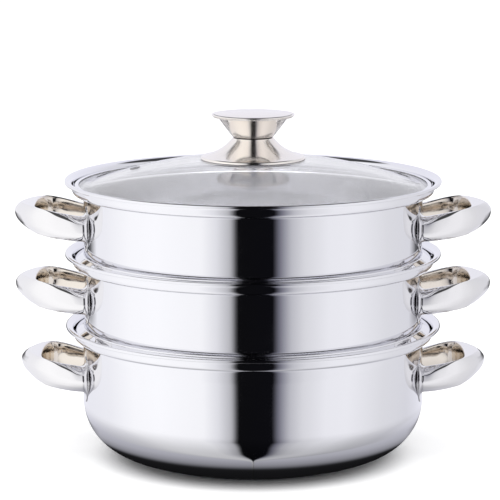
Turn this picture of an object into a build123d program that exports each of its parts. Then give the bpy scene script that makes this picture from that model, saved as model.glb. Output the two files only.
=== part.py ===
"""Three-tier steamer pot: a stock pot, two perforated tiers nested on it, and a domed glass lid.

Millimetres. +Z is up, the origin is the centre of the underside, and the loop handles lie along X.
Every vessel has the same stepped collar: the tier or lid above rests on the ledge inside it.
"""

from build123d import *
from math import atan2, degrees, sqrt
import os

# Pot, whose body radius the other radii follow
pot_body_radius = 133.6
pot_rim_height = 106.2
pot_wall = 1.0
pot_corner_radius = 42.0

# Collar and rim, alike on the pot and both tiers
collar_step = 7.7
collar_height = 10.8
lip_width = 5.7
lip_rise = 0.8
lip_curl_drop = 2.0
lip_flare_fillet = 2.4
lip_curl_fillet = 0.5
ledge_inner_fillet = 1.5
ledge_outer_fillet = 1.4

# Bonded base under the pot
base_edge_inset = 1.1
base_cap_sheet = 0.6
base_cap_fillet = 0.5
base_core_thickness = 3.0
base_core_side_gap = 0.3

# Steamer tiers
tier_pitch = 57.0
tier_inset = 1.3
tier_wall = 0.8
tier_skirt_inset = 2.0
tier_skirt_depth = 16.0
tier_corner_radius = 12.0
bead_side_gap = 1.0
bead_height = 5.0
bead_shoulder = 3.0
bead_fillet = 1.5
hole_diameter = 8.0
hole_pitch = 19.0
hole_edge_margin = 15.0

# Loop handles: hollow pressed steel, sloping up from the wall to a level end
grip_length = 54.0
pot_grip_length = 49.1
grip_width = 93.0
grip_height = 25.5
grip_drop = 18.4
pot_grip_drop = 22.4
grip_sheet = 1.5
grip_top_fillet = 1.5
grip_outer_fillet = 3.0
grip_inner_fillet = 1.5
opening_width = 74.0
opening_end_thickness = 17.5
foot_spacing = 60.0
foot_width = 19.0
foot_height = 36.0
foot_sheet = 1.6
foot_drop = 1.6
weld_gap = 0.1

# Shares of the handle's length and height, from the wall to the end
grip_top_shares = ((0.0, 0.72), (0.12, 0.77), (0.27, 0.84), (0.42, 0.91), (0.60, 0.975), (0.80, 1.0), (1.0, 0.98))
grip_bottom_shares = ((0.0, 0.0), (0.14, 0.02), (0.34, 0.07), (0.55, 0.15), (0.71, 0.22), (0.88, 0.32), (1.0, 0.42))
# Shares of the handle's length and half width, from the wall to the middle of its end
ring_outer_shares = ((0.0, 0.97), (0.10, 1.0), (0.27, 0.97), (0.42, 0.91), (0.58, 0.81), (0.74, 0.65), (0.89, 0.38))
# Shares of the opening's length and half width
ring_inner_shares = ((0.0, 0.60), (0.15, 0.82), (0.42, 1.0), (0.70, 0.94), (0.93, 0.58))

# Lid: glass in a rolled steel band that rests on the upper tier's ledge
band_side_gap = 1.2
band_sheet = 0.8
band_lip_width = 3.0
band_corner_fillet = 1.0
glass_thickness = 4.0
glass_fit_gap = 0.2
glass_edge_gap = 0.3
glass_margin_width = 5.1
dome_radius = 390.0
dome_blend_radius = 20.0
knob_hole_radius = 5.0

# Steam vent
vent_inset = 45.1
vent_angle = 172.0
vent_bore_radius = 1.6
vent_tube_sheet = 0.8
vent_flange_radius = 4.0
vent_flange_thickness = 0.5
vent_fit_gap = 0.1

# Knob
knob_sheet = 0.9
skirt_radius = 40.8
skirt_edge_lift = 2.0
skirt_edge_roll = 1.2
skirt_sag = 2.6
waist_radius = 16.0
waist_rise = 15.2
waist_groove = 0.8
cup_throat_radius = 28.0
cup_lip_radius = 31.4
cup_height = 15.6
cap_radius = 32.4
cap_edge_thickness = 1.2
cap_dome_height = 1.9
boss_radius = 7.0
boss_side_gap = 0.3
seal_thickness = 1.5
seal_radius = 10.0
washer_radius = 9.0
washer_thickness = 1.2
screw_radius = 3.0
screw_head_radius = 5.5
screw_head_height = 3.2
screw_head_fillet = 1.0
screw_engagement = 9.0
screw_bore_gap = 0.05
screw_tip_gap = 2.0
screw_socket_width = 4.0
screw_socket_depth = 2.0

# Clearance between pieces that rest on one another's curved faces
seat_gap = 0.15
overrun = 5.0

# Radii worked out from the sizes above
collar_radius = pot_body_radius + collar_step
rim_radius = collar_radius + lip_width
tier_body_radius = pot_body_radius - tier_inset
tier_skirt_radius = tier_body_radius - tier_skirt_inset
bead_radius = collar_radius - pot_wall - bead_side_gap
base_cap_radius = pot_body_radius - pot_corner_radius - base_edge_inset
hole_rings = int((tier_skirt_radius - tier_corner_radius - hole_edge_margin) / hole_pitch)
band_radius = collar_radius - tier_wall - band_side_gap
glass_edge_radius = band_radius - band_sheet - glass_edge_gap
dome_blend_start = glass_edge_radius - glass_margin_width
vent_distance = glass_edge_radius - vent_inset

# Levels worked out from the sizes above
base_height = base_cap_sheet + base_core_thickness
lower_rim_height = pot_rim_height + tier_pitch
upper_rim_height = lower_rim_height + tier_pitch
pot_seat_height = pot_rim_height - collar_height + pot_wall
lower_seat_height = lower_rim_height - collar_height + tier_wall
upper_seat_height = upper_rim_height - collar_height + tier_wall
glass_edge_top = upper_seat_height + band_sheet + glass_fit_gap + glass_thickness
blend_reach = dome_radius + dome_blend_radius
dome_centre_height = glass_edge_top + dome_blend_radius - sqrt(blend_reach**2 - dome_blend_start**2)
waist_height = dome_centre_height + dome_radius + waist_rise
cup_lip_height = waist_height + cup_height


def revolved(face):
    """Turns a half section, drawn with X as radius and Y as height, about the vertical axis."""
    return revolve(Plane.XZ * face, Axis.Z)


def ring(inner_radius, outer_radius, low, high):
    """A flat ring or disc between two heights."""
    middle = ((inner_radius + outer_radius) / 2, (low + high) / 2)
    section = Pos(*middle) * Rectangle(outer_radius - inner_radius, high - low)
    return revolved(section)


def sheet_section(path, thickness):
    """The half section of a spun sheet whose outer face follows the path, drawn from the middle up."""
    return make_face(offset(path, amount=thickness, side=Side.LEFT))


def collar_points(body_radius, rim_height, wall):
    """Corners of a vessel's outer face from the top of its body to the edge of its rim."""
    ledge_under = rim_height - collar_height
    lip_under = rim_height - wall
    return [
        (body_radius, ledge_under),
        (collar_radius, ledge_under),
        (collar_radius, lip_under - lip_rise),
        (rim_radius - wall, lip_under),
        (rim_radius - wall, rim_height - lip_curl_drop),
    ]


collar_fillets = [ledge_inner_fillet, ledge_outer_fillet, lip_flare_fillet, lip_curl_fillet]


def pot_body():
    """The pot: flat bottom, generous corner, straight wall, stepped collar and flared rim."""
    points = [(0, base_height), (pot_body_radius, base_height)]
    points += collar_points(pot_body_radius, pot_rim_height, pot_wall)
    path = FilletPolyline(points, radius=[pot_corner_radius] + collar_fillets)
    return revolved(sheet_section(path, pot_wall))


def floor_holes(floor_height):
    """Steam holes of a tier's floor, in rings of six more each."""
    cutter = Cylinder(hole_diameter / 2, 2 * overrun)
    places = [Pos(0, 0, floor_height)]
    for number in range(1, hole_rings + 1):
        ring_places = PolarLocations(number * hole_pitch, 6 * number)
        places += [Pos(0, 0, floor_height) * place for place in ring_places]
    return [place * cutter for place in places]


def tier_body(seat_height, rim_height):
    """A steamer tier: its bead rests on the ledge below, its skirt and floor hang inside."""
    floor_height = seat_height - tier_skirt_depth
    bead_top = seat_height + bead_height
    points = [
        (0, floor_height),
        (tier_skirt_radius, floor_height),
        (tier_skirt_radius, seat_height),
        (bead_radius, seat_height),
        (bead_radius, bead_top),
        (tier_body_radius, bead_top + bead_shoulder),
    ]
    points += collar_points(tier_body_radius, rim_height, tier_wall)
    fillets = [tier_corner_radius] + [bead_fillet] * 4 + collar_fillets
    path = FilletPolyline(points, radius=fillets)
    return revolved(sheet_section(path, tier_wall)) - floor_holes(floor_height)


def base_core():
    """Aluminium disc that spreads the heat under the pot."""
    radius = base_cap_radius - base_cap_sheet - base_core_side_gap
    return ring(0, radius, base_cap_sheet, base_height)


def base_cap():
    """Thin steel dish closed over the core, its edge against the pot's flat bottom."""
    floor = ring(0, base_cap_radius, 0, base_cap_sheet)
    side = ring(base_cap_radius - base_cap_sheet, base_cap_radius, 0, base_height)
    dish = floor + side
    corner = dish.edges().group_by(Axis.Z)[0]
    return fillet(corner, base_cap_fillet)


def scaled(shares, length, height, lift=0):
    """Points of an outline from shares of a length and a height, all lifted alike."""
    return [(along * length, up * height + lift) for along, up in shares]


def grip_side_face(length, inset):
    """The handle seen from the side: X outward from the wall, Y up from its lowest point."""
    top = scaled(grip_top_shares, length, grip_height, -inset)
    bottom = scaled(grip_bottom_shares, length, grip_height, inset)
    upper = Spline([(-overrun, top[0][1])] + top)
    lower = Spline([(-overrun, bottom[0][1])] + bottom)
    end_top = (length + overrun, top[-1][1])
    end_bottom = (length + overrun, bottom[-1][1])
    end = Polyline(upper @ 1, end_top, end_bottom, lower @ 1)
    return make_face([upper, end, lower, Line(lower @ 0, upper @ 0)])


def half_loop(shares, length, half_width):
    """A closed loop about the X axis through mirrored points, its open side inside the wall."""
    side = scaled(shares, length, half_width)
    mirrored = [(along, -across) for along, across in reversed(side)]
    root_start = (-overrun, side[0][1])
    root_end = (-overrun, -side[0][1])
    curve = Spline([root_start] + side + [(length, 0)] + mirrored + [root_end])
    return make_face([curve, Line(root_end, root_start)])


def loop_solid(length, wall_radius, inset):
    """A loop handle's form along +X, its lowest point at height zero, drawn in by an inset."""
    opening_length = length - opening_end_thickness
    outer = half_loop(ring_outer_shares, length - inset, grip_width / 2 - inset)
    inner = half_loop(ring_inner_shares, opening_length + inset, opening_width / 2 + inset)
    profile = extrude(Plane.XZ.offset(-grip_width) * grip_side_face(length, inset), 2 * grip_width)
    plan = extrude(Pos(0, 0, -overrun) * (outer - inner), grip_height + 2 * overrun)
    return Pos(wall_radius, 0, 0) * (plan & profile)


def loop_edges(solid):
    """The four long edges that run round a loop handle, lowest first."""
    return solid.edges().filter_by(lambda edge: edge.length > grip_width).sort_by(Axis.Z)


def grip(length, wall_radius):
    """A hollow loop handle along +X, cut at the root to stand on its feet."""
    form = loop_solid(length, wall_radius, 0)
    form = fillet(loop_edges(form)[1:2], grip_outer_fillet)
    form = fillet(loop_edges(form)[:1], grip_inner_fillet)
    form = fillet(loop_edges(form)[-2:], grip_top_fillet)
    shell = form - loop_solid(length, wall_radius, grip_sheet)
    root_radius = wall_radius + weld_gap + foot_sheet + weld_gap
    return shell - Cylinder(root_radius, 4 * grip_height)


def feet(wall_radius):
    """The two leaf-shaped plates that follow the wall under the ends of one handle."""
    inner = wall_radius + weld_gap
    band = ring(inner, inner + foot_sheet, -foot_height, foot_height)
    plates = []
    for side in (-1, 1):
        leaf = Plane.YZ * Pos(side * foot_spacing / 2, 0) * Ellipse(foot_width / 2, foot_height / 2)
        plates.append(band & extrude(leaf, wall_radius + overrun))
    return plates


def write_handles(vessel, rim_height, drop, right_grip, wall_radius):
    """Both handles of one vessel, each a hollow grip and its pair of feet."""
    low = rim_height - drop - grip_height
    root_middle = low + (grip_top_shares[0][1] + grip_bottom_shares[0][1]) / 2 * grip_height
    right_feet = feet(wall_radius)
    for side, turn in (("right", 0), ("left", 180)):
        write(Pos(0, 0, low) * Rot(0, 0, turn) * right_grip, f"{vessel}_{side}_grip")
        feet_place = Pos(0, 0, root_middle - foot_drop) * Rot(0, 0, turn)
        write(Compound([feet_place * plate for plate in right_feet]), f"{vessel}_{side}_feet")


def band_inner_height():
    """Height between the lips of the lid's rim band."""
    return glass_thickness + 2 * glass_fit_gap


def glass_height(radius, depth):
    """Height of the dome's upper face at a radius, or of a face that lies a depth under it."""
    return dome_centre_height + sqrt((dome_radius - depth) ** 2 - radius**2)


def lid_rim_band():
    """Steel band rolled over the edge of the glass, a channel open to the middle."""
    height = band_inner_height() + 2 * band_sheet
    inner_radius = band_radius - band_lip_width
    low = upper_seat_height
    points = [
        (inner_radius, low),
        (band_radius, low),
        (band_radius, low + height),
        (inner_radius, low + height),
    ]
    path = FilletPolyline(points, radius=band_corner_fillet)
    return revolved(sheet_section(path, band_sheet))


def glass_section_line(depth):
    """The glass's upper face, or a face a depth under it: dome, soft blend and flat margin."""
    blend_centre = Vector(dome_blend_start, glass_edge_top + dome_blend_radius)
    dome_centre = Vector(0, dome_centre_height)
    share = (dome_radius - depth) / blend_reach
    joint = dome_centre + (blend_centre - dome_centre) * share
    level = glass_edge_top - depth
    crown = Vector(0, glass_height(0, depth))
    margin = Vector(dome_blend_start, level)
    dome = RadiusArc(crown, joint, dome_radius - depth)
    blend = RadiusArc(joint, margin, -(dome_blend_radius + depth))
    return [dome, blend, Line(margin, Vector(glass_edge_radius, level))]


def vent_place():
    """The steam vent's middle, half way through the glass, its Z along the glass's normal."""
    radius = vent_distance
    height = glass_height(radius, glass_thickness / 2)
    lean = atan2(radius, height - dome_centre_height)
    return Rot(0, 0, vent_angle) * Pos(radius, 0, height) * Rot(0, degrees(lean), 0)


def lid_glass():
    """Domed tempered glass with a hole for the knob and one for the vent."""
    upper = glass_section_line(0)
    lower = glass_section_line(glass_thickness)
    edge = Line(upper[-1] @ 1, lower[-1] @ 1)
    axis = Line(upper[0] @ 0, lower[0] @ 0)
    dome = revolved(make_face(upper + lower + [edge, axis]))
    knob_hole = Pos(0, 0, glass_height(0, 0)) * Cylinder(knob_hole_radius, 2 * overrun + glass_thickness)
    vent_radius = vent_bore_radius + vent_tube_sheet + vent_fit_gap
    vent_hole = vent_place() * Cylinder(vent_radius, 2 * overrun + glass_thickness)
    return dome - knob_hole - vent_hole


def vent_eyelet():
    """Flanged steel tube pressed through the glass, open for steam."""
    half_length = glass_thickness / 2 + seat_gap
    flange = Cylinder(vent_flange_radius, vent_flange_thickness)
    middle = half_length + vent_flange_thickness / 2
    tube = Cylinder(vent_bore_radius + vent_tube_sheet, 2 * half_length)
    body = tube + Pos(0, 0, middle) * flange + Pos(0, 0, -middle) * flange
    bore = Cylinder(vent_bore_radius, 4 * half_length)
    return vent_place() * (body - bore)


def knob_skirt():
    """Trumpet-shaped foot of the knob, its rolled edge on the glass."""
    edge_height = glass_height(skirt_radius, 0) + seat_gap
    shoulder = (skirt_radius - skirt_edge_roll, edge_height + skirt_edge_lift)
    neck = (waist_radius, waist_height - waist_groove)
    inner_neck = (boss_radius + boss_side_gap, neck[1])
    flare = SagittaArc(shoulder, neck, skirt_sag)
    roll = SagittaArc((skirt_radius, edge_height), shoulder, skirt_edge_roll / 2)
    top = Line(neck, inner_neck)
    inner_flare = SagittaArc(
        (shoulder[0] - knob_sheet, shoulder[1] - knob_sheet),
        (neck[0] - knob_sheet, neck[1] - knob_sheet),
        skirt_sag,
    )
    edge_inner = (skirt_radius - knob_sheet, edge_height)
    outline = [
        roll,
        flare,
        top,
        Line(inner_neck, (inner_neck[0], neck[1] - knob_sheet)),
        Line((inner_neck[0], neck[1] - knob_sheet), inner_flare @ 1),
        inner_flare,
        Line(inner_flare @ 0, edge_inner),
        Line(edge_inner, (skirt_radius, edge_height)),
    ]
    return revolved(make_face(outline))


def knob_grip():
    """Flared steel cup above the waist, its flat lip under the cap."""
    points = [
        (0, waist_height),
        (waist_radius, waist_height),
        (cup_throat_radius, cup_lip_height),
        (cup_lip_radius, cup_lip_height),
    ]
    path = FilletPolyline(points, radius=[knob_sheet, 2 * knob_sheet])
    return revolved(sheet_section(path, knob_sheet))


def knob_cap():
    """Slightly domed disc that closes the cup."""
    low = cup_lip_height + knob_sheet
    top = low + cap_edge_thickness
    crown_height = top + cap_dome_height
    crown = ThreePointArc((-cap_radius, top), (0, crown_height), (cap_radius, top))
    edge = Polyline((cap_radius, top), (cap_radius, low), (-cap_radius, low), (-cap_radius, top))
    right_half = Pos(cap_radius, crown_height) * Rectangle(2 * cap_radius, 2 * crown_height)
    return revolved(make_face([crown, edge]) & right_half)


def knob_boss():
    """Threaded steel boss that carries the knob, its foot on the upper seal."""
    foot = glass_height(0, 0) + seal_thickness
    bore_depth = screw_engagement + screw_tip_gap
    bore = ring(0, screw_radius + screw_bore_gap, foot, foot + bore_depth)
    return ring(0, boss_radius, foot, waist_height) - bore


def knob_seal_upper():
    """Silicone washer between the glass and the knob's boss."""
    low = glass_height(0, 0)
    return ring(screw_radius + seat_gap, seal_radius, low, low + seal_thickness)


def under_glass_height():
    """Height of the glass's lower face where the lower seal's edge touches it."""
    return glass_height(seal_radius, glass_thickness)


def knob_seal_lower():
    """Silicone washer under the glass."""
    low = under_glass_height() - seal_thickness
    return ring(screw_radius + seat_gap, seal_radius, low, under_glass_height())


def knob_washer():
    """Steel washer that spreads the screw's load."""
    top = under_glass_height() - seal_thickness
    return ring(screw_radius + seat_gap, washer_radius, top - washer_thickness, top)


def knob_screw():
    """Pan-head screw with a hexagon socket, up through the washers and the glass into the boss."""
    seat = under_glass_height() - seal_thickness - washer_thickness
    tip = glass_height(0, 0) + seal_thickness + screw_engagement
    low = seat - screw_head_height
    head = ring(0, screw_head_radius, low, seat)
    head = fillet(head.edges().group_by(Axis.Z)[0], screw_head_fillet)
    socket = extrude(Pos(0, 0, low) * RegularPolygon(screw_socket_width / 2, 6), screw_socket_depth)
    return head + ring(0, screw_radius, low + screw_socket_depth, tip) - socket


def write(shape, node):
    """Writes one node's solid, or group of solids, under its own name."""
    export_step(shape, f"parts/{node}.step")


os.makedirs("parts", exist_ok=True)
write(pot_body(), "pot_body")
write(base_core(), "pot_base_core")
write(base_cap(), "pot_base_cap")
write(tier_body(pot_seat_height, lower_rim_height), "lower_steamer_body")
write(tier_body(lower_seat_height, upper_rim_height), "upper_steamer_body")
pot_grip = grip(pot_grip_length, pot_body_radius)
tier_grip = grip(grip_length, tier_body_radius)
write_handles("pot", pot_rim_height, pot_grip_drop, pot_grip, pot_body_radius)
write_handles("lower_steamer", lower_rim_height, grip_drop, tier_grip, tier_body_radius)
write_handles("upper_steamer", upper_rim_height, grip_drop, tier_grip, tier_body_radius)
write(lid_rim_band(), "lid_rim_band")
write(lid_glass(), "lid_glass")
write(vent_eyelet(), "vent_eyelet")
write(knob_skirt(), "knob_skirt")
write(knob_grip(), "knob_grip")
write(knob_cap(), "knob_cap")
write(knob_boss(), "knob_boss")
write(knob_seal_upper(), "knob_seal_upper")
write(knob_seal_lower(), "knob_seal_lower")
write(knob_washer(), "knob_washer")
write(knob_screw(), "knob_screw")
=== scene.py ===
"""Looks of a three-tier stainless steel steamer pot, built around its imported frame.

Sizes are in millimetres and turned to metres when a mesh is made. Heights come from the frame's boxes.
"""

from math import atan2, cos, pi, radians, sin, sqrt, tan

import bmesh
import bpy
from mathutils import Matrix, Vector


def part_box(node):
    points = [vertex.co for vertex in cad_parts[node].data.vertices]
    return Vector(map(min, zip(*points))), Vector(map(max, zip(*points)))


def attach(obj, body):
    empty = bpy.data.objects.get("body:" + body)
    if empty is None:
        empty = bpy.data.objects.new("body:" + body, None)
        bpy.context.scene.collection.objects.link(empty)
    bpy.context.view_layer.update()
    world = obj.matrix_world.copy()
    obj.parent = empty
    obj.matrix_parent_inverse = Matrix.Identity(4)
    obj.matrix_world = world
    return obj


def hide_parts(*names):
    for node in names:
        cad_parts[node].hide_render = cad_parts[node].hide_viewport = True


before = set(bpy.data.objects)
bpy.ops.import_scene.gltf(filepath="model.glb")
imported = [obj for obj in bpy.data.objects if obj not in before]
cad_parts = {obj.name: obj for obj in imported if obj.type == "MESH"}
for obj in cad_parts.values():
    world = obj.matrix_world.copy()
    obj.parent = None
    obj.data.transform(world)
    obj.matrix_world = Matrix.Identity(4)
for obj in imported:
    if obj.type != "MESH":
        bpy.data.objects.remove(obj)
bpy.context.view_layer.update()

MM = 0.001

# Photograph
frame_pixels = 500
view_pitch = radians(9.74)
view_distance = 2000.0
view_height = 162.8
view_side_shift = -2.35
focal_pixels = 2550.0
sensor_width = 36.0
camera_far_limit = 100000.0

# Mesh fineness
turn_steps = 192
corner_steps = 8
corner_pitch = 1.2
support_gap = 0.6
hole_steps = 24
axis_gap = 0.001
sharp_edge_degrees = 35

# Collar and rim, alike on all three vessels
rim_radius = 147.0
collar_radius = 141.3
collar_height = 10.8
lip_rise = 0.8
lip_curl_drop = 2.0
lip_flare_fillet = 4.0
lip_curl_fillet = 0.5
ledge_inner_fillet = 1.5
ledge_outer_fillet = 3.6

# Pot and the base bonded under it
pot_body_radius = 133.6
pot_wall = 1.0
pot_corner_radius = 42.0
base_height = 3.6
base_cap_radius = 90.5
base_cap_sheet = 0.6
base_cap_fillet = 0.5

# Steamer tiers
tier_body_radius = 132.3
tier_wall = 0.8
tier_skirt_radius = 130.3
tier_skirt_depth = 16.0
tier_corner_radius = 12.0
bead_side_gap = 1.0
bead_height = 5.0
bead_shoulder = 3.0
bead_fillet = 1.5
hole_diameter = 8.0
hole_pitch = 19.0
hole_rings = 5
first_ring_holes = 6

# Loop handles
grip_width = 93.0
opening_width = 74.0
opening_end_thickness = 17.5
# Share of the handle's length from the wall, and the share of its height at which the edge runs there
grip_top_shares = (
    (0.0, 0.72), (0.12, 0.77), (0.27, 0.84), (0.42, 0.91), (0.60, 0.975), (0.80, 1.0), (1.0, 0.98),
)
grip_bottom_shares = (
    (0.0, 0.0), (0.14, 0.02), (0.34, 0.07), (0.55, 0.15), (0.71, 0.22), (0.88, 0.32), (1.0, 0.42),
)
# Share of the handle's or its opening's length from the wall, and the share of its half width there
ring_outer_shares = (
    (0.0, 1.0), (0.10, 0.985), (0.27, 0.95), (0.42, 0.90), (0.58, 0.81), (0.74, 0.65), (0.89, 0.38),
)
ring_inner_shares = ((0.0, 0.78), (0.25, 0.88), (0.55, 0.95), (0.78, 0.93), (0.91, 0.80), (0.98, 0.48))
grip_edge_rounds = (2.6, 1.7)
grip_lower_round = 5.0
grip_inner_round = 1.6
grip_upper_crowns = (1.5, 4.5)
grip_lower_crown = 3.0
grip_inner_crown = 0.8
grip_crown_height = 0.55
grip_edge_drop = 3.2
grip_edge_drop_reach = 0.6
grip_root_blend = 6.0
grip_root_overlap = 5.0
grip_stations = 200
root_crowding = 0.8
grip_side_steps = 6
curve_steps = 12
foot_spacing = 60.0
foot_width = 19.0
foot_height = 36.0
foot_sheet = 1.6
foot_edge = 0.5
leaf_inset = 0.9
foot_point = 0.25
foot_rings = 6
foot_steps = 48
weld_gap = 0.1

# Lid
band_side_gap = 1.2
band_sheet = 0.8
band_lip_width = 3.0
band_corner_fillet = 1.0
glass_thickness = 4.0
glass_fit_gap = 0.2
dome_radius = 390.0
dome_blend_radius = 20.0
dome_blend_start = 133.3
seat_gap = 0.15

# Knob
knob_sheet = 0.9
skirt_radius = 40.8
skirt_edge_lift = 2.0
skirt_edge_roll = 1.2
skirt_sag = 2.6
waist_radius = 16.0
cup_throat_radius = 28.0
cup_lip_radius = 31.4
cap_radius = 32.4
cap_edge_round = 0.4
cap_dome_height = 1.9
flare_steps = 24

# Metals: colour, roughness where most and where least polished, and the grain's pitch
metal_finishes = {
    # Spun and buffed on the wheel: an all but clear mirror
    "polished_stainless_steel": ("#EDEDF0", 0.02, 0.08, 1.5),
    # Pressed and buffed by hand: a mirror a shade softer
    "pressed_stainless_steel": ("#EEEDED", 0.03, 0.09, 1.5),
    # Pressed, with painted shade and painted warm reflection for the handles' opening faces: pale straw,
    # softer still
    "opening_painted_shade_steel": ("#E8E0D5", 0.06, 0.14, 1.5),
    # Turned on the lathe: warm, with highlights drawn out along the cut
    "turned_stainless_steel": ("#F6F1EB", 0.10, 0.20, 0.8),
    # Brushed to a satin on the inside: reflections blurred to pale grey
    "satin_stainless_steel": ("#F4F4F6", 0.20, 0.30, 1.0),
    # Painted shade for the knob's groove: a dark, dull steel that stands for the shade deep in the recess
    "painted_groove_shade_steel": ("#3A3634", 0.45, 0.6, 0.5),
    # Machined small parts: grey, with a soft sheen
    "machined_steel": ("#C9C9CB", 0.25, 0.4, 0.5),
    # Rolled plate: pale, with a broad sheen
    "rolled_aluminium": ("#DADBDC", 0.3, 0.45, 0.6),
}
# How much longer the grain is round the wall than up it, and the size of the patches that handling leaves
grain_stretch = 6.0
handling_pitch = 40.0
# The product of grain and patches at which a metal is most and least polished
grain_low = 0.15
grain_high = 0.4
# Silicone's moulded grit, drawn as coarse as it needs to show
mould_grit_pitch = 0.4
mould_grit_depth = 0.1
mould_grit_strength = 0.15

# Studio
ambient_level = 0.7
lamp_place = (0.0, -400.0, 1600.0)
lamp_size = 1200.0
lamp_power = 12.0
floor_radius = 9000.0
floor_steps = 96
# Radius on the floor, and the light added there where the floor is seen; falling to nothing near the pot's
# base, it paints a contact shadow round it
floor_lifts_with_painted_shadow = ((91, 0.0), (99, 0.02), (106, 0.1), (113, 0.24), (120, 0.36), (127, 0.43), (134, 0.45))
floor_lift_reach = 200.0
tent_radius = 500.0
tent_height = 650.0
tent_skirt_height = 1.0
# Height over the skirt up to which the tent is still shaded as skirt
tent_skirt_margin = 1.0
tent_base_gap = 0.6
tent_roof_hole = 0.6
tent_strength = 1.2
# The dark card behind the pot is full between its full and foot heights, and gone at its low and top ones
back_card_top = 150.0
back_card_foot = 125.0
back_card_strength = 0.15
back_card_low = 10.0
back_card_full = 40.0
# Azimuth in degrees from the camera, and the share of a dark card before the cloth's wall there
wall_card_shares = ((118, 0.0), (130, 1.0), (157, 1.0), (163, 0.0))
skirt_strip_fade = 90.0
# Distance to the side of the middle, and the share of a dark strip on the skirt behind the pot there
skirt_strip_shares = ((95, 0.0), (110, 1.0), (148, 1.0), (162, 0.0))
# Radius on the tent's skirt, and the width of the cloth's bands there as a share of their width on the wall
skirt_widths = (
    (132, 0.003), (137, 0.004), (141, 0.1), (146, 0.3), (152, 0.45), (164, 0.52), (182, 0.58), (208, 0.78),
    (500, 1.0),
)
# Radius on the tent's skirt or roof, and the share of the cloth's light there; on the skirt it falls to near
# black close to the pot, a painted shadow of the pot on the floor as the steel reflects it
skirt_levels_with_painted_shadow = (
    (88, "#101012"), (118, "#18181A"), (121, "#2A2A2E"), (124, "#74747A"), (128, "#98989C"),
    (133, "#A8A8AC"), (138, "#B8B8BC"), (147, "#C4C4C8"), (158, "#CECED2"), (170, "#DADADD"),
    (188, "#E8E8EA"), (212, "#F4F4F4"), (250, "#FFFFFF"),
)
roof_levels = ((0, "#4A4A4E"), (420, "#4A4A4E"), (500, "#FFFFFF"))
# Azimuth in degrees from the camera, and the brightness of the cloth there
tent_levels = (
    (-180, "#E0E0EA"), (-140, "#E4E4EA"), (-105, "#EAEAEE"), (-80, "#F6F6F8"), (-60, "#F8F8FA"),
    (-30, "#F2F2F4"), (-21, "#DCDCE0"), (-13.2, "#B4B4B8"), (-9.3, "#0C0C0E"), (11.8, "#0C0C10"),
    (15.6, "#747480"), (22, "#B8B8BE"), (30, "#D4D4D8"), (45, "#E6E6EA"), (60, "#E8E8EC"),
    (90, "#D8D8DC"), (120, "#D2D2D8"), (150, "#DEDEE6"), (180, "#E0E0EA"),
)


def aim(thing, place, target):
    """Puts an object at a place, its -Z towards the target."""
    thing.location = place
    thing.rotation_euler = (Vector(target) - Vector(place)).to_track_quat("-Z", "Y").to_euler()


def make_camera():
    """The photograph's view: a long lens, a little above the pot."""
    data = bpy.data.cameras.new("photo_camera")
    data.sensor_width = sensor_width
    data.lens = focal_pixels * sensor_width / frame_pixels
    data.clip_end = camera_far_limit * MM
    camera = bpy.data.objects.new("photo_camera", data)
    bpy.context.scene.collection.objects.link(camera)
    target = Vector((view_side_shift, 0, view_height)) * MM
    reach = view_distance * MM
    place = target + Vector((0, -reach * cos(view_pitch), reach * sin(view_pitch)))
    aim(camera, place, target)
    bpy.context.scene.camera = camera


def linear(colour):
    """An sRGB hex colour as linear RGBA."""
    channels = [int(colour[start:start + 2], 16) / 255 for start in (1, 3, 5)]
    return [c / 12.92 if c <= 0.04045 else ((c + 0.055) / 1.055) ** 2.4 for c in channels] + [1.0]


def add_node(tree, kind, values=None, **settings):
    """Adds one node, with its settings and its inputs' values or links."""
    node = tree.nodes.new("ShaderNode" + kind)
    for name, value in settings.items():
        setattr(node, name, value)
    for socket, value in (values or {}).items():
        if isinstance(value, bpy.types.NodeSocket):
            tree.links.new(value, node.inputs[socket])
        else:
            node.inputs[socket].default_value = value
    return node


def new_material(name):
    """An empty node material and the node that its surface leaves by."""
    material = bpy.data.materials.new(name)
    material.use_nodes = True
    material.node_tree.nodes.clear()
    return material, material.node_tree


def finish_material(tree, shader):
    """Links the surface shader to the material's output."""
    add_node(tree, "OutputMaterial", {"Surface": shader})


def set_stops(ramp, stops, first, last, interpolation="LINEAR"):
    """Gives a colour ramp its stops, in the numbers of its range, and returns its colour."""
    ramp.color_ramp.interpolation = interpolation
    elements = ramp.color_ramp.elements
    for number, (value, level) in enumerate(stops):
        position = (value - first) / (last - first)
        element = elements[number] if number < 2 else elements.new(position)
        element.position = position
        element.color = linear(level) if isinstance(level, str) else (level, level, level, 1)
    return ramp.outputs["Color"]


def metal(name, colour, polish, wear, grain_pitch):
    """A bare metal: fine grain round the wall blurs its reflection, and handling blurs it in patches."""
    material, tree = new_material(name)
    place = add_node(tree, "TexCoord").outputs["Object"]
    squeezed = add_node(tree, "Mapping", {"Vector": place, "Scale": (1, 1, grain_stretch)})
    grain = add_node(
        tree, "TexNoise",
        {
            "Vector": squeezed.outputs["Vector"], "Scale": 1 / (grain_pitch * MM),
            "Detail": 3.0, "Roughness": 0.6,
        },
    )
    handled = add_node(
        tree, "TexNoise", {"Vector": place, "Scale": 1 / (handling_pitch * MM), "Detail": 2.0}
    )
    mixed = add_node(
        tree, "Math", {0: grain.outputs["Fac"], 1: handled.outputs["Fac"]}, operation="MULTIPLY"
    )
    rough = add_node(
        tree, "MapRange",
        {
            "Value": mixed.outputs["Value"], "From Min": grain_low, "From Max": grain_high,
            "To Min": polish, "To Max": wear,
        },
    )
    shader = add_node(
        tree, "BsdfPrincipled",
        {"Base Color": linear(colour), "Metallic": 1.0, "Roughness": rough.outputs["Result"]},
    )
    finish_material(tree, shader.outputs["BSDF"])
    return material


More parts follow.
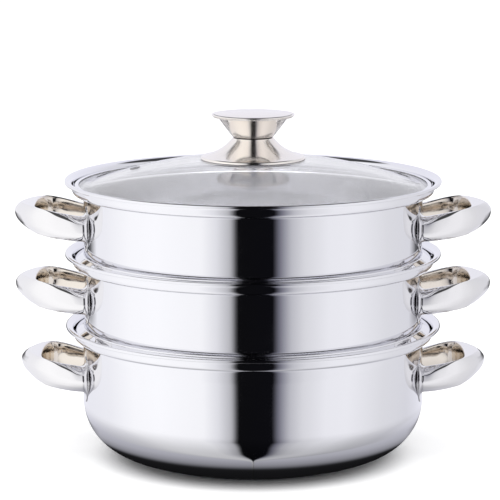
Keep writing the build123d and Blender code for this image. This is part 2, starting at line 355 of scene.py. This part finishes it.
def tempered_glass():
    """Clear tempered soda-lime glass: sharp gloss and next to no tint."""
    material, tree = new_material("tempered_glass")
    shader = add_node(
        tree, "BsdfPrincipled",
        {"Base Color": linear("#FDFDFF"), "Roughness": 0.0, "IOR": 1.5, "Transmission Weight": 1.0},
    )
    finish_material(tree, shader.outputs["BSDF"])
    return material


def silicone():
    """Moulded grey silicone rubber: matt, faintly rough from the mould."""
    material, tree = new_material("moulded_silicone")
    place = add_node(tree, "TexCoord").outputs["Object"]
    grit = add_node(tree, "TexNoise", {"Vector": place, "Scale": 1 / (mould_grit_pitch * MM), "Detail": 4.0})
    bump = add_node(
        tree, "Bump",
        {
            "Height": grit.outputs["Fac"], "Strength": mould_grit_strength,
            "Distance": mould_grit_depth * MM,
        },
    )
    shader = add_node(
        tree, "BsdfPrincipled",
        {"Base Color": linear("#B9B7B4"), "Roughness": 0.6, "IOR": 1.42, "Normal": bump.outputs["Normal"]},
    )
    finish_material(tree, shader.outputs["BSDF"])
    return material


def rounded(points, radii):
    """The path through the points, its inner corners rounded, with support points on long runs."""
    path = [Vector(points[0])]
    for index, radius in enumerate(radii, start=1):
        corner = Vector(points[index])
        back = (Vector(points[index - 1]) - corner).normalized()
        ahead = (Vector(points[index + 1]) - corner).normalized()
        half = back.angle(ahead) / 2
        reach = radius / tan(half)
        middle = corner + (back + ahead).normalized() * (radius / sin(half))
        start = corner + back * reach - middle
        sweep = start.angle_signed(corner + ahead * reach - middle)
        steps = max(corner_steps, round(radius * abs(sweep) / corner_pitch))
        for step in range(steps + 1):
            turn = Matrix.Rotation(-sweep * step / steps, 2)
            path.append(middle + turn @ start)
    path.append(Vector(points[-1]))
    return supported(path)


def supported(path):
    """Adds a point near both ends of each long straight run, which keeps its shading flat."""
    result = [path[0]]
    for before, after in zip(path, path[1:]):
        run = after - before
        if run.length > 4 * support_gap:
            step = run.normalized() * support_gap
            result += [before + step, after - step]
        result.append(after)
    return result


def side_of(path, index):
    """The unit normal on the left of a path at one of its points."""
    before = path[max(index - 1, 0)]
    after = path[min(index + 1, len(path) - 1)]
    along = (after - before).normalized()
    return Vector((-along.y, along.x))


def round_tip(start, end):
    """Points of a half circle from one corner of a sheet's end to the other, bulging to the right."""
    middle = (start + end) / 2
    reach = start - middle
    ahead = Vector((-reach.y, reach.x))
    turns = [pi * step / corner_steps for step in range(1, corner_steps)]
    return [middle + reach * cos(turn) + ahead * sin(turn) for turn in turns]


def sheet(path, thickness, both_ends=False):
    """The closed section of a spun sheet: its outer face is the path, and its free ends are rounded."""
    inner = [point + side_of(path, index) * thickness for index, point in enumerate(path)]
    section = path + round_tip(path[-1], inner[-1]) + inner[::-1]
    if both_ends:
        section += round_tip(inner[0], path[0])
    return section


def spin(mesh, section, inside_from=None):
    """Turns a closed section, radius and height, about the vertical axis into a watertight skin.

    The faces from the section's point number inside_from take the second material."""
    rows = []
    for point in section:
        if point.x < axis_gap:
            rows.append([mesh.verts.new((0, 0, point.y * MM))])
            continue
        row = []
        for step in range(turn_steps):
            turn = 2 * pi * step / turn_steps
            row.append(mesh.verts.new((point.x * cos(turn) * MM, point.x * sin(turn) * MM, point.y * MM)))
        rows.append(row)
    for number, (row, following) in enumerate(zip(rows, rows[1:] + rows[:1])):
        if len(row) == 1 and len(following) == 1:
            continue
        for step in range(turn_steps):
            after = (step + 1) % turn_steps
            ring = [row[step % len(row)], row[after % len(row)]]
            ring += [following[after % len(following)], following[step % len(following)]]
            face = mesh.faces.new(dict.fromkeys(ring))
            face.material_index = int(inside_from is not None and number >= inside_from)
    return rows


def inside_start(section, path):
    """Number of the first point of a vessel's section that lies below its collar, on the inside."""
    for number in range(len(path) + corner_steps, len(section)):
        if section[number].x < pot_body_radius:
            return number


def make_piece(name, mesh, body, nodes, slot, *materials):
    """Links a finished mesh as one piece of a body that stands for its nodes."""
    bmesh.ops.recalc_face_normals(mesh, faces=mesh.faces)
    data = bpy.data.meshes.new(name)
    mesh.to_mesh(data)
    mesh.free()
    data.shade_smooth()
    data.set_sharp_from_angle(angle=radians(sharp_edge_degrees))
    for material in materials:
        data.materials.append(material)
    piece = bpy.data.objects.new(name, data)
    bpy.context.scene.collection.objects.link(piece)
    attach(piece, body)
    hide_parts(*nodes)
    return piece


def spun_piece(name, section, body, slot, *materials, inside_from=None):
    """A piece that is one closed section turned about the axis, in place of the node of its name."""
    mesh = bmesh.new()
    spin(mesh, section, inside_from)
    return make_piece(f"{name}_spun", mesh, body, [name], slot, *materials)


def collar_points(body_radius, rim_height, wall):
    """Corners of a vessel's outer face from the top of its body to the edge of its rim."""
    ledge_under = rim_height - collar_height
    lip_under = rim_height - wall
    return [
        (body_radius, ledge_under),
        (collar_radius, ledge_under),
        (collar_radius, lip_under - lip_rise),
        (rim_radius - wall, lip_under),
        (rim_radius - wall, rim_height - lip_curl_drop),
    ]


collar_fillets = [ledge_inner_fillet, ledge_outer_fillet, lip_flare_fillet, lip_curl_fillet]


def box_top(node):
    """Height of a node's highest point."""
    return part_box(node)[1][2] / MM


def box_foot(node):
    """Height of a node's lowest point."""
    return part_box(node)[0][2] / MM


def make_pot(*materials):
    """The pot: flat bottom, generous corner, straight wall, stepped collar and flared rim."""
    points = [(0, base_height), (pot_body_radius, base_height)]
    points += collar_points(pot_body_radius, box_top("pot_body"), pot_wall)
    path = rounded(points, [pot_corner_radius] + collar_fillets)
    section = sheet(path, pot_wall)
    inside_from = inside_start(section, path)
    spun_piece("pot_body", section, "pot", "polished_steel", *materials, inside_from=inside_from)


def make_base_cap(material):
    """The thin dish under the pot, closed over the aluminium core."""
    points = [(0, 0), (base_cap_radius, 0), (base_cap_radius, base_height)]
    path = rounded(points, [base_cap_fillet])
    spun_piece("pot_base_cap", sheet(path, base_cap_sheet), "pot", "polished_steel", material)


def hole_places():
    """Middles of the steam holes: one, then rings of six more each."""
    places = [(0, 0)]
    for number in range(1, hole_rings + 1):
        count = first_ring_holes * number
        for step in range(count):
            turn = 2 * pi * step / count
            places.append((number * hole_pitch * cos(turn), number * hole_pitch * sin(turn)))
    return places


def circle(mesh, middle, radius, height, steps):
    """A ring of linked points round a middle."""
    points = []
    for step in range(steps):
        turn = 2 * pi * step / steps
        across = (middle[0] + radius * cos(turn)) * MM
        along = (middle[1] + radius * sin(turn)) * MM
        points.append(mesh.verts.new((across, along, height * MM)))
    return points


def ring_edges(mesh, ring):
    """The edges that close a ring of points, made where they don't exist."""
    edges = []
    for first, second in zip(ring, ring[1:] + ring[:1]):
        edges.append(mesh.edges.get((first, second)) or mesh.edges.new((first, second)))
    return edges


def perforate(mesh, lower_ring, upper_ring, low, high):
    """Fills a tier's floor between two rings of its wall, with the steam holes left open."""
    lower_edges = ring_edges(mesh, lower_ring)
    upper_edges = ring_edges(mesh, upper_ring)
    for middle in hole_places():
        lower = circle(mesh, middle, hole_diameter / 2, low, hole_steps)
        upper = circle(mesh, middle, hole_diameter / 2, high, hole_steps)
        lower_edges += ring_edges(mesh, lower)
        upper_edges += ring_edges(mesh, upper)
        for step in range(hole_steps):
            after = (step + 1) % hole_steps
            mesh.faces.new((lower[step], lower[after], upper[after], upper[step]))
    bmesh.ops.triangle_fill(mesh, use_beauty=True, edges=lower_edges)
    filled = bmesh.ops.triangle_fill(mesh, use_beauty=True, edges=upper_edges)
    for part in filled["geom"]:
        if isinstance(part, bmesh.types.BMFace):
            part.material_index = 1


def make_tier(node, body, *materials):
    """A steamer tier: bead and skirt that nest in the vessel below, and a floor full of holes."""
    floor = box_foot(node)
    seat = floor + tier_skirt_depth
    bead_top = seat + bead_height
    bead_radius = collar_radius - pot_wall - bead_side_gap
    plate_radius = tier_skirt_radius - tier_corner_radius
    points = [
        (plate_radius - support_gap, floor),
        (tier_skirt_radius, floor),
        (tier_skirt_radius, seat),
        (bead_radius, seat),
        (bead_radius, bead_top),
        (tier_body_radius, bead_top + bead_shoulder),
    ]
    points += collar_points(tier_body_radius, box_top(node), tier_wall)
    path = rounded(points, [tier_corner_radius] + [bead_fillet] * 4 + collar_fillets)
    mesh = bmesh.new()
    section = sheet(path, tier_wall)
    rows = spin(mesh, section, inside_start(section, path))
    inner_edge = rows[-1]
    outer_edge = rows[0]
    end_faces = [face for face in mesh.faces if all(v in inner_edge or v in outer_edge for v in face.verts)]
    bmesh.ops.delete(mesh, geom=end_faces, context="FACES_ONLY")
    perforate(mesh, outer_edge, inner_edge, floor, floor + tier_wall)
    make_piece(f"{node}_spun", mesh, body, [node], "polished_steel", *materials)


def curve_through(points, steps):
    """A smooth curve through points, with a number of steps between each pair."""
    vectors = [Vector(point) for point in points]
    padded = [2 * vectors[0] - vectors[1]] + vectors + [2 * vectors[-1] - vectors[-2]]
    curve = []
    for before, start, end, after in zip(padded, padded[1:], padded[2:], padded[3:]):
        for step in range(steps):
            t = step / steps
            bend = 2 * before - 5 * start + 4 * end - after
            twist = 3 * start - before - 3 * end + after
            curve.append((2 * start + (end - before) * t + bend * t**2 + twist * t**3) / 2)
    curve.append(vectors[-1])
    return curve


def spaced(curve, count):
    """Points along a curve, its two ends among them, closer together towards its ends."""
    lengths = [0.0]
    for before, after in zip(curve, curve[1:]):
        lengths.append(lengths[-1] + (after - before).length)
    points = []
    index = 0
    for number in range(count + 1):
        turn = 2 * pi * number / count
        wanted = lengths[-1] * (turn - root_crowding * sin(turn)) / (2 * pi)
        while index < len(curve) - 2 and lengths[index + 1] < wanted:
            index += 1
        share = (wanted - lengths[index]) / (lengths[index + 1] - lengths[index])
        points.append(curve[index].lerp(curve[index + 1], share))
    return points


def level_at(curve, along):
    """Height of a side outline at a distance from the wall."""
    for before, after in zip(curve, curve[1:]):
        if along <= after.x:
            return before.lerp(after, (along - before.x) / (after.x - before.x)).y
    return curve[-1].y


def loop_line(shares, length, half_width, wall_radius, root_radius):
    """A loop handle's outline in plan, from one root through the middle of its end to the other."""
    root_across = shares[0][1] * half_width
    root = (sqrt(root_radius**2 - root_across**2) - wall_radius, root_across)
    side = [root] + [(along * length, across * half_width) for along, across in shares[1:]]
    mirrored = [(along, -across) for along, across in reversed(side)]
    return spaced(curve_through(side + [(length, 0)] + mirrored, curve_steps), grip_stations)


def rounded_box(width, height, rounds):
    """An upright rectangle from its bottom inner corner: four rounded corners, its sides divided."""
    corners = [Vector(place) for place in ((0, 0), (width, 0), (width, height), (0, height))]
    points = []
    for index, radius in enumerate(rounds):
        corner = corners[index]
        following = corners[(index + 1) % 4]
        back = (corners[index - 1] - corner).normalized() * radius
        ahead = (following - corner).normalized()
        for step in range(corner_steps + 1):
            turn = pi / 2 * step / corner_steps
            points.append(corner + back * (1 - sin(turn)) + ahead * radius * (1 - cos(turn)))
        start = points[-1]
        end = following - ahead * rounds[(index + 1) % 4]
        for step in range(1, grip_side_steps):
            points.append(start.lerp(end, step / grip_side_steps))
    return points


def crown_inset(up, reach):
    """How far the handle's outer face lies inside its fullest line, at shares of its height and length."""
    if up > grip_crown_height:
        crown = grip_upper_crowns[0] + (grip_upper_crowns[1] - grip_upper_crowns[0]) * reach**2
        return crown * ((up - grip_crown_height) / (1 - grip_crown_height)) ** 2
    return grip_lower_crown * ((grip_crown_height - up) / grip_crown_height) ** 2


def grip_section(inner, outer, outlines, length, low):
    """Points of one upright section of a loop handle, and their angles about its middle."""
    top, bottom = outlines
    width = (outer - inner).length
    middle = (inner + outer) / 2
    height = level_at(top, middle.x) - level_at(bottom, middle.x)
    reach = max(0, outer.x / length)
    edge_drop = grip_edge_drop * max(0, 1 - middle.x / length / grip_edge_drop_reach)
    edge_round = grip_edge_rounds[0] + (grip_edge_rounds[1] - grip_edge_rounds[0]) * reach
    rounds = (grip_inner_round, grip_lower_round, edge_round, grip_inner_round)
    points = []
    for place in rounded_box(width, height, rounds):
        out = place.x / width
        up = place.y / height
        inset = grip_inner_crown * (2 * up - 1) ** 2 * (1 - out) ** 2 - crown_inset(up, reach) * out**2
        spot = inner.lerp(outer, (place.x + inset) / width)
        foot = level_at(bottom, spot.x)
        level = foot + (level_at(top, spot.x) - foot) * up - edge_drop * out**3 * up**2
        angle = atan2(place.y - height / 2, place.x - width / 2)
        points.append((Vector((spot.x, spot.y, level + low)), angle))
    return points


def grip_outlines(length, height):
    """A handle's upper and lower edges seen from the side, from inside its feet to its end."""
    outlines = []
    for shares in (grip_top_shares, grip_bottom_shares):
        side = [(-grip_root_overlap, shares[0][1] * height)]
        side += [(along * length, up * height) for along, up in shares]
        outlines.append(curve_through(side, curve_steps))
    return outlines


def skin_grip(mesh, stations):
    """Closes a handle's sections into one skin, its face on the opening in the second material, which paints
    the shade and warm reflections there.
    """
    count = len(stations[0])
    opening_from = count - grip_side_steps - corner_steps // 2
    for before, after in zip(stations, stations[1:]):
        for index in range(count):
            following = (index + 1) % count
            face = mesh.faces.new((before[index], before[following], after[following], after[index]))
            face.material_index = int(index >= opening_from)
    mesh.faces.new(stations[0])
    mesh.faces.new(stations[-1])


def make_grip(node, body, wall_radius, reach, turn, *materials):
    """A hollow pressed loop handle: crisp upper edge, full soft side, ends flared onto the feet."""
    length = reach - wall_radius
    low = box_foot(node)
    outlines = grip_outlines(length, box_top(node) - low)
    root_radius = wall_radius + weld_gap + foot_edge
    outer = loop_line(ring_outer_shares, length, grip_width / 2, wall_radius, root_radius)
    opening_length = length - opening_end_thickness
    inner = loop_line(ring_inner_shares, opening_length, opening_width / 2, wall_radius, root_radius)
    foot_node = node.replace("grip", "feet")
    foot_height_middle = (box_foot(foot_node) + box_top(foot_node)) / 2
    mesh = bmesh.new()
    stations = []
    for number in range(grip_stations + 1):
        end = 0 if number < grip_stations / 2 else -1
        side = 1 if end == 0 else -1
        from_root = (outer[number] - outer[end]).length
        share = max(0, 1 - from_root / grip_root_blend) ** 2
        place = (wall_radius, side * foot_spacing / 2, foot_height_middle)
        station = []
        for point, angle in grip_section(inner[number], outer[number], outlines, length, low):
            across = leaf_inset * cos(angle) * side
            leaf = leaf_point(across, leaf_inset * sin(angle), foot_edge, *place)
            point = Vector((point.x + wall_radius, point.y, point.z)).lerp(leaf, share)
            station.append(mesh.verts.new(turn @ (point * MM)))
        stations.append(station)
    skin_grip(mesh, stations)
    make_piece(f"{node}_pressed", mesh, body, [node], "polished_steel", *materials)


def leaf_point(across, up, depth, wall_radius, middle_across, middle_height):
    """A point of a foot plate: shares of its half sizes, and its height off the wall's cylinder."""
    side = middle_across + across * foot_width / 2
    radius = wall_radius + weld_gap + depth
    return Vector((sqrt(radius**2 - side**2), side, middle_height + up * foot_height / 2))


def make_feet(node, body, wall_radius, turn, material):
    """The pair of leaf-shaped plates welded to the wall, each a little domed."""
    middle_height = (box_foot(node) + box_top(node)) / 2
    mesh = bmesh.new()
    for side in (-1, 1):
        place = (wall_radius, side * foot_spacing / 2, middle_height)
        crown = mesh.verts.new(turn @ (leaf_point(0, 0, foot_sheet, *place) * MM))
        back = mesh.verts.new(turn @ (leaf_point(0, 0, 0, *place) * MM))
        rings = []
        for number in range(1, foot_rings + 1):
            reach = number / foot_rings
            depth = foot_edge + (foot_sheet - foot_edge) * (1 - reach**2)
            rings.append(leaf_ring(mesh, reach, depth, place, turn))
        rings.append(leaf_ring(mesh, 1, 0, place, turn))
        fan(mesh, crown, rings[0])
        for before, after in zip(rings, rings[1:]):
            for index in range(foot_steps):
                following = (index + 1) % foot_steps
                mesh.faces.new((before[index], before[following], after[following], after[index]))
        fan(mesh, back, rings[-1])
    make_piece(f"{node}_domed", mesh, body, [node], "polished_steel", material)


def leaf_ring(mesh, reach, depth, place, turn):
    """One ring of a foot plate: an ellipse drawn to a point at its upper and lower ends."""
    points = []
    for step in range(foot_steps):
        angle = 2 * pi * step / foot_steps
        across = reach * cos(angle) * (1 - foot_point * sin(angle) ** 2)
        points.append(mesh.verts.new(turn @ (leaf_point(across, reach * sin(angle), depth, *place) * MM)))
    return points


def fan(mesh, middle, ring):
    """Closes a ring with triangles round one point."""
    for first, second in zip(ring, ring[1:] + ring[:1]):
        mesh.faces.new((middle, first, second))


def dome_centre_height():
    """Height of the centre of the glass dome's sphere, under its flat margin's level."""
    edge_top = box_foot("lid_rim_band") + band_sheet + glass_fit_gap + glass_thickness
    return edge_top + dome_blend_radius - sqrt((dome_radius + dome_blend_radius) ** 2 - dome_blend_start**2)


def glass_height(radius):
    """Height of the dome's upper face at a radius."""
    return dome_centre_height() + sqrt(dome_radius**2 - radius**2)


def make_rim_band(material):
    """The steel band rolled over the edge of the glass, open to the middle."""
    low = box_foot("lid_rim_band")
    high = box_top("lid_rim_band")
    outer = collar_radius - tier_wall - band_side_gap
    inner = outer - band_lip_width
    path = rounded([(inner, low), (outer, low), (outer, high), (inner, high)], [band_corner_fillet] * 2)
    spun_piece("lid_rim_band", sheet(path, band_sheet, both_ends=True), "lid", "polished_steel", material)


def make_knob_skirt(*materials):
    """The knob's trumpet foot: rolled edge on the glass, hollow flare, and a groove under the cup, painted
    dark as shade.
    """
    edge = glass_height(skirt_radius) + seat_gap
    neck_height = box_top("knob_skirt")
    shoulder = Vector((skirt_radius - skirt_edge_roll, edge + skirt_edge_lift))
    neck = Vector((waist_radius, neck_height))
    path = [Vector((skirt_radius - skirt_edge_roll * (1 - cos(turn)), edge + skirt_edge_lift * sin(turn)))
            for turn in (pi / 2 * step / corner_steps for step in range(corner_steps))]
    chord = neck - shoulder
    sag_along = Vector((chord.y, -chord.x)).normalized() * -skirt_sag
    for step in range(flare_steps + 1):
        share = step / flare_steps
        path.append(shoulder + chord * share - sag_along * 4 * share * (share - 1))
    groove_radius = waist_radius - knob_sheet
    path += [Vector((groove_radius, neck_height)), Vector((groove_radius, box_foot("knob_grip")))]
    section = sheet(path, knob_sheet, both_ends=True)
    # The groove's faces and the hidden inside take the second material, which paints the shade in the groove
    spun_piece("knob_skirt", section, "lid", "knob_steel", *materials, inside_from=len(path) - 2)


def make_knob_cup(material):
    """The flared cup above the waist, with the flat lip that carries the cap."""
    low = box_foot("knob_grip")
    lip = box_top("knob_grip") - knob_sheet
    points = [(0, low), (waist_radius, low), (cup_throat_radius, lip), (cup_lip_radius, lip)]
    path = rounded(points, [knob_sheet, 2 * knob_sheet])
    spun_piece("knob_grip", sheet(path, knob_sheet), "lid", "knob_steel", material)


def make_knob_cap(material):
    """The slightly domed disc that closes the cup, its edge rounded."""
    low = box_foot("knob_cap")
    crown = box_top("knob_cap")
    edge_top = crown - cap_dome_height
    # The section runs in under the crown and back out, which leaves a slot 0.2 mm high at the crown's edge
    points = [(0, low), (cap_radius, low), (cap_radius, edge_top), (0, edge_top)]
    section = rounded(points, [cap_edge_round] * 2)[:-1]
    for step in range(1, flare_steps + 1):
        share = step / flare_steps
        radius = (cap_radius - cap_edge_round) * (1 - share)
        section.append(Vector((radius, edge_top + cap_dome_height * (1 - (radius / cap_radius) ** 2))))
    spun_piece("knob_cap", section, "lid", "knob_steel", material)


def dress(node, material):
    """Gives a CAD node its material."""
    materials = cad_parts[node].data.materials
    materials.clear()
    materials.append(material)


def make_world():
    """White where the camera, steel and glass see it, and a plain soft level on everything else."""
    world = bpy.data.worlds.new("studio")
    bpy.context.scene.world = world
    world.use_nodes = True
    tree = world.node_tree
    tree.nodes.clear()
    rays = add_node(tree, "LightPath").outputs
    seen = add_node(tree, "Math", {0: rays["Is Camera Ray"], 1: rays["Is Glossy Ray"]}, operation="ADD")
    seen = add_node(tree, "Math", {0: seen.outputs[0], 1: rays["Is Transmission Ray"]}, operation="MAXIMUM")
    strength = add_node(
        tree, "MapRange", {"Value": seen.outputs[0], "To Min": ambient_level, "To Max": 1.0}
    )
    background = add_node(tree, "Background", {"Color": linear("#FFFFFF"), "Strength": strength.outputs[0]})
    add_node(tree, "OutputWorld", {"Surface": background.outputs[0]})


def make_stage_piece(name, mesh, material):
    """Links a mesh that belongs to the studio and not to the pot."""
    data = bpy.data.meshes.new(name)
    mesh.to_mesh(data)
    mesh.free()
    data.materials.append(material)
    piece = bpy.data.objects.new(name, data)
    bpy.context.scene.collection.objects.link(piece)
    return piece


def make_floor():
    """A pale matt floor: lifted to white where it is seen, darker where the pot shades it, and darker still
    by a painted shadow where the lift fades near the pot.
    """
    material, tree = new_material("matt_white_floor")
    matt = add_node(tree, "BsdfDiffuse", {"Color": linear("#F5F5F5"), "Roughness": 0.5})
    rays = add_node(tree, "LightPath").outputs
    seen = add_node(
        tree, "Math", {0: rays["Is Camera Ray"], 1: rays["Is Transmission Ray"]}, operation="MAXIMUM"
    )
    place = add_node(tree, "TexCoord").outputs["Object"]
    radius = add_node(tree, "VectorMath", {0: place}, operation="LENGTH").outputs["Value"]
    share = add_node(tree, "Math", {0: radius, 1: floor_lift_reach * MM}, operation="DIVIDE").outputs[0]
    light = set_stops(add_node(tree, "ValToRGB", {"Fac": share}), floor_lifts_with_painted_shadow, 0, floor_lift_reach)
    lift = add_node(tree, "MapRange", {"Value": seen.outputs[0], "To Min": 0.0, "To Max": light})
    glow = add_node(tree, "Emission", {"Color": linear("#FFFFFF"), "Strength": lift.outputs[0]})
    both = add_node(tree, "AddShader", {0: matt.outputs[0], 1: glow.outputs[0]})
    finish_material(tree, both.outputs[0])
    mesh = bmesh.new()
    bmesh.ops.create_circle(mesh, cap_ends=True, segments=floor_steps, radius=floor_radius * MM)
    make_stage_piece("floor", mesh, material)


def skirt_or(tree, skirt, rest, low):
    """A value that is rest on the tent's wall and roof, and low on its skirt."""
    return add_node(tree, "MapRange", {"Value": skirt, "To Min": rest, "To Max": low}).outputs[0]


def cloth_colour(tree, place, skirt, reach_share):
    """The cloth's bands round the tent, which draw together on the skirt close to the pot."""
    split = add_node(tree, "SeparateXYZ", {"Vector": place})
    forward = add_node(tree, "Math", {0: split.outputs["Y"], 1: -1.0}, operation="MULTIPLY").outputs[0]
    azimuth = add_node(tree, "Math", {0: split.outputs["X"], 1: forward}, operation="ARCTAN2").outputs[0]
    ramp = add_node(tree, "ValToRGB", {"Fac": reach_share})
    width = skirt_or(tree, skirt, 1.0, set_stops(ramp, skirt_widths, 0, tent_radius, "B_SPLINE"))
    bearing = add_node(tree, "Math", {0: azimuth, 1: width}, operation="DIVIDE").outputs[0]
    share = add_node(tree, "MapRange", {"Value": bearing, "From Min": -pi, "From Max": pi}).outputs[0]
    colour = set_stops(add_node(tree, "ValToRGB", {"Fac": share}), tent_levels, -180, 180)
    return colour, azimuth


def cloth_shade(tree, skirt, reach_share):
    """The share of the cloth's light on the roof and on the skirt, where it paints the pot's shadow close
    under it.
    """
    ramp = add_node(tree, "ValToRGB", {"Fac": reach_share})
    on_roof = set_stops(ramp, roof_levels, 0, tent_radius)
    ramp = add_node(tree, "ValToRGB", {"Fac": reach_share})
    on_skirt = set_stops(ramp, skirt_levels_with_painted_shadow, 0, tent_radius, "B_SPLINE")
    return skirt_or(tree, skirt, on_roof, on_skirt)


def card_share(tree, place, skirt, azimuth):
    """The share of the dark card that hangs low behind the pot, and of its strips on the skirt."""
    split = add_node(tree, "SeparateXYZ", {"Vector": place})
    height = split.outputs["Z"]
    turned = add_node(tree, "Math", {0: azimuth}, operation="ABSOLUTE").outputs[0]
    turned = add_node(tree, "Math", {0: turned, 1: pi}, operation="DIVIDE").outputs[0]
    hung = set_stops(add_node(tree, "ValToRGB", {"Fac": turned}), wall_card_shares, 0, 180)
    raised = add_node(
        tree, "MapRange",
        {"Value": height, "From Min": back_card_low * MM, "From Max": back_card_full * MM, "To Max": hung},
    ).outputs[0]
    aside = add_node(tree, "Math", {0: split.outputs["X"]}, operation="ABSOLUTE").outputs[0]
    aside = add_node(tree, "Math", {0: aside, 1: tent_radius * MM}, operation="DIVIDE").outputs[0]
    strip = set_stops(add_node(tree, "ValToRGB", {"Fac": aside}), skirt_strip_shares, 0, tent_radius)
    rear = add_node(
        tree, "MapRange", {"Value": split.outputs["Y"], "From Min": 0.0, "From Max": skirt_strip_fade * MM}
    ).outputs[0]
    faded = add_node(tree, "Math", {0: strip, 1: rear}, operation="MULTIPLY").outputs[0]
    low = add_node(
        tree, "MapRange",
        {"Value": height, "From Min": back_card_top * MM, "From Max": back_card_foot * MM},
    ).outputs[0]
    behind = skirt_or(tree, skirt, raised, faded)
    return add_node(tree, "Math", {0: behind, 1: low}, operation="MULTIPLY").outputs[0]


def tent_cloth():
    """Bright cloth with dim joins and a slit for the lens, dark overhead, and dark close under the pot as a
    painted shadow of the pot on the floor.
    """
    material, tree = new_material("tent_cloth")
    place = add_node(tree, "TexCoord").outputs["Object"]
    height = add_node(tree, "SeparateXYZ", {"Vector": place}).outputs["Z"]
    flat = add_node(tree, "Mapping", {"Vector": place, "Scale": (1, 1, 0)}).outputs["Vector"]
    radius = add_node(tree, "VectorMath", {0: flat}, operation="LENGTH").outputs["Value"]
    reach_share = add_node(tree, "Math", {0: radius, 1: tent_radius * MM}, operation="DIVIDE").outputs[0]
    skirt_top = (tent_skirt_height + tent_skirt_margin) * MM
    skirt = add_node(tree, "Math", {0: height, 1: skirt_top}, operation="LESS_THAN").outputs[0]
    colour, azimuth = cloth_colour(tree, place, skirt, reach_share)
    card = card_share(tree, place, skirt, azimuth)
    light = add_node(
        tree, "MapRange", {"Value": card, "To Min": tent_strength, "To Max": back_card_strength}
    ).outputs[0]
    shade = cloth_shade(tree, skirt, reach_share)
    strength = add_node(tree, "Math", {0: light, 1: shade}, operation="MULTIPLY").outputs[0]
    glow = add_node(tree, "Emission", {"Color": colour, "Strength": strength})
    finish_material(tree, glow.outputs[0])
    return material


def make_tent():
    """A round light tent with a flat roof and a skirt on the floor, which only steel and glass see."""
    outline = (
        (base_cap_radius + tent_base_gap, tent_skirt_height), (tent_radius, tent_skirt_height),
        (tent_radius, tent_height), (tent_roof_hole, tent_height),
    )
    mesh = bmesh.new()
    rows = [circle(mesh, (0, 0), radius, height, turn_steps) for radius, height in outline]
    for below, above in zip(rows, rows[1:]):
        for step in range(turn_steps):
            after = (step + 1) % turn_steps
            mesh.faces.new((below[step], below[after], above[after], above[step]))
    tent = make_stage_piece("light_tent", mesh, tent_cloth())
    tent.visible_camera = False
    tent.visible_diffuse = False
    tent.visible_shadow = False
    tent.visible_transmission = False


def make_lamp():
    """A square soft lamp over the pot, aimed at its middle, which mirrors don't show."""
    data = bpy.data.lights.new("overhead_softbox", "AREA")
    data.size = lamp_size * MM
    data.energy = lamp_power
    lamp = bpy.data.objects.new("overhead_softbox", data)
    bpy.context.scene.collection.objects.link(lamp)
    aim(lamp, Vector(lamp_place) * MM, (0, 0, view_height * MM))
    lamp.visible_glossy = False
    lamp.visible_camera = False


make_camera()
make_world()
make_floor()
make_tent()
make_lamp()
bpy.context.scene.view_settings.view_transform = "Standard"

metals = {name: metal(name, *finish) for name, finish in metal_finishes.items()}
vessel_steel = metals["polished_stainless_steel"]
grip_steel = metals["pressed_stainless_steel"]
knob_steel = metals["turned_stainless_steel"]
satin_steel = metals["satin_stainless_steel"]

make_pot(vessel_steel, satin_steel)
make_base_cap(vessel_steel)
make_tier("lower_steamer_body", "lower_steamer", vessel_steel, satin_steel)
make_tier("upper_steamer_body", "upper_steamer", vessel_steel, satin_steel)
wall_radii = {"pot": pot_body_radius, "lower_steamer": tier_body_radius, "upper_steamer": tier_body_radius}
for vessel, radius in wall_radii.items():
    for side, turns in (("right", 0), ("left", pi)):
        grip = f"{vessel}_{side}_grip"
        turn = Matrix.Rotation(turns, 4, "Z")
        reach = max(abs(corner.x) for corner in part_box(grip)) / MM
        make_grip(grip, vessel, radius, reach, turn, grip_steel, metals["opening_painted_shade_steel"])
        make_feet(f"{vessel}_{side}_feet", vessel, radius, turn, grip_steel)
make_rim_band(vessel_steel)
make_knob_skirt(knob_steel, metals["painted_groove_shade_steel"])
make_knob_cup(knob_steel)
make_knob_cap(knob_steel)
dress("pot_base_core", metals["rolled_aluminium"])
dress("lid_glass", tempered_glass())
for node in ("vent_eyelet", "knob_boss", "knob_screw", "knob_washer"):
    dress(node, metals["machined_steel"])
seal_rubber = silicone()
for node in ("knob_seal_upper", "knob_seal_lower"):
    dress(node, seal_rubber)
